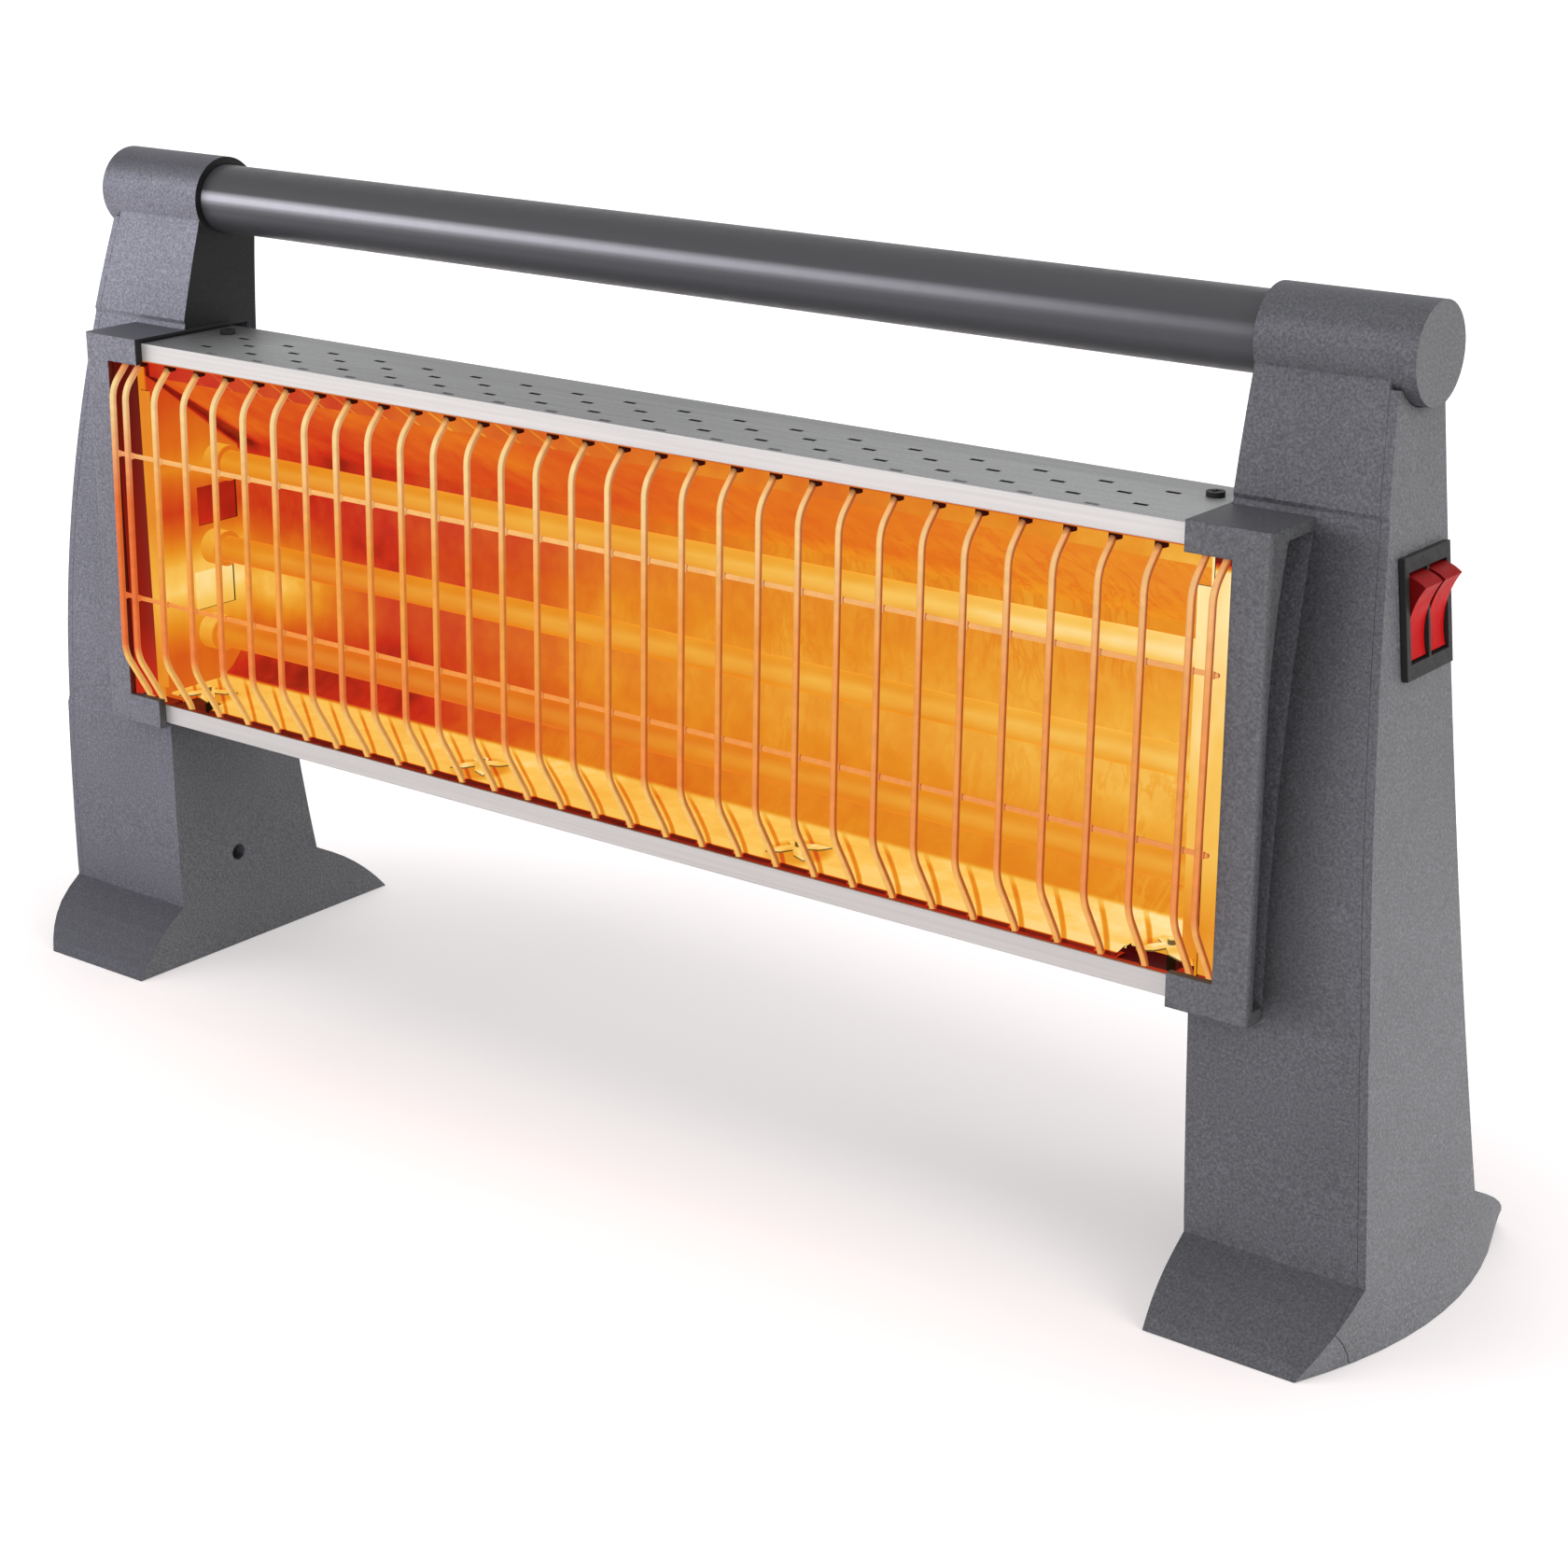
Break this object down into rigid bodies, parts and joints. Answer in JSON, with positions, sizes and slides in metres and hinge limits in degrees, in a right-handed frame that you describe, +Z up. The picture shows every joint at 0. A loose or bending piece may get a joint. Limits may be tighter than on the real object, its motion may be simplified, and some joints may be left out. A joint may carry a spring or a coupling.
{
  "type": "electric bar heater",
  "caption": "Free-standing radiant heater: glowing quartz tubes in a reflector housing behind a wire guard, between two moulded stands joined by a tubular handle.",
  "frame": {"origin": "centre of the bounding box on the floor, under the middle of the heater", "axes": "+X along the heater towards the stand with the switch, -Y the side that heats, +Z up"},
  "size_m": [0.5916, 0.135, 0.3128],
  "materials": {
    "stand_plastic": "satin grey with a fine metallic fleck",
    "bezel_plastic": "satin grey with a fine metallic fleck",
    "handle_paint": "smooth satin dark grey",
    "housing_steel": "satin silver grey",
    "rail_steel": "bright",
    "guard_chrome": "plated wire",
    "reflector_bright": "bright, slightly rippled",
    "clip_steel": "spring steel",
    "quartz": "milky, translucent",
    "heating_wire": "resistance wire, glowing when on",
    "ceramic": "white steatite ceramic",
    "terminal_metal": "plated brass",
    "lead_sleeve": "glass-fibre sleeve",
    "switch_black": "black",
    "rocker_red": "clear red, gloss",
    "block_white": "off-white",
    "lead_black": "black insulation",
    "gland_black": "black",
    "cutout_steel": "plain",
    "tilt_black": "black",
    "black_screw": "black",
    "zinc_screw": "zinc plated"
  },
  "bodies": {
    "frame": {"left_stand_outer_shell": "stand_plastic", "right_stand_outer_shell": "stand_plastic", "left_stand_inner_shell": "stand_plastic", "right_stand_inner_shell": "stand_plastic", "left_bezel": "bezel_plastic", "right_bezel": "bezel_plastic", "handle_tube": "handle_paint", "housing_shell": "housing_steel", "left_housing_end": "housing_steel", "right_housing_end": "housing_steel", "upper_guard_rail": "rail_steel", "lower_guard_rail": "rail_steel", "guard_grille": "guard_chrome", "reflector": "reflector_bright", "left_reflector_end": "reflector_bright", "right_reflector_end": "reflector_bright", "reflector_clips": "clip_steel", "upper_quartz_tube": "quartz", "middle_quartz_tube": "quartz", "lower_quartz_tube": "quartz", "upper_heating_coil": "heating_wire", "middle_heating_coil": "heating_wire", "lower_heating_coil": "heating_wire", "left_upper_holder": "ceramic", "left_middle_holder": "ceramic", "left_lower_holder": "ceramic", "right_upper_holder": "ceramic", "right_middle_holder": "ceramic", "right_lower_holder": "ceramic", "left_tube_terminals": "terminal_metal", "right_tube_terminals": "terminal_metal", "left_bus_strip": "terminal_metal", "upper_tube_lead": "lead_sleeve", "middle_tube_lead": "lead_sleeve", "lower_tube_lead": "lead_sleeve", "switch_body": "switch_black", "terminal_block": "block_white", "supply_lead": "lead_black", "cord_gland": "gland_black", "thermal_cutout": "cutout_steel", "tilt_switch": "tilt_black", "stand_screws": "black_screw", "housing_end_screws": "zinc_screw", "top_screws": "black_screw"},
    "front_rocker": {"front_rocker": "rocker_red"},
    "rear_rocker": {"rear_rocker": "rocker_red"}
  },
  "joints": [
    {"name": "front_rocker_pivot", "type": "hinge", "parent": "frame", "child": "front_rocker", "pos_m": [0.27505, -0.01595, 0.2238], "axis": [0, -1, 0], "range_deg": [0, 30]},
    {"name": "rear_rocker_pivot", "type": "hinge", "parent": "frame", "child": "rear_rocker", "pos_m": [0.27505, -0.00355, 0.2238], "axis": [0, -1, 0], "range_deg": [0, 30]}
  ]
}
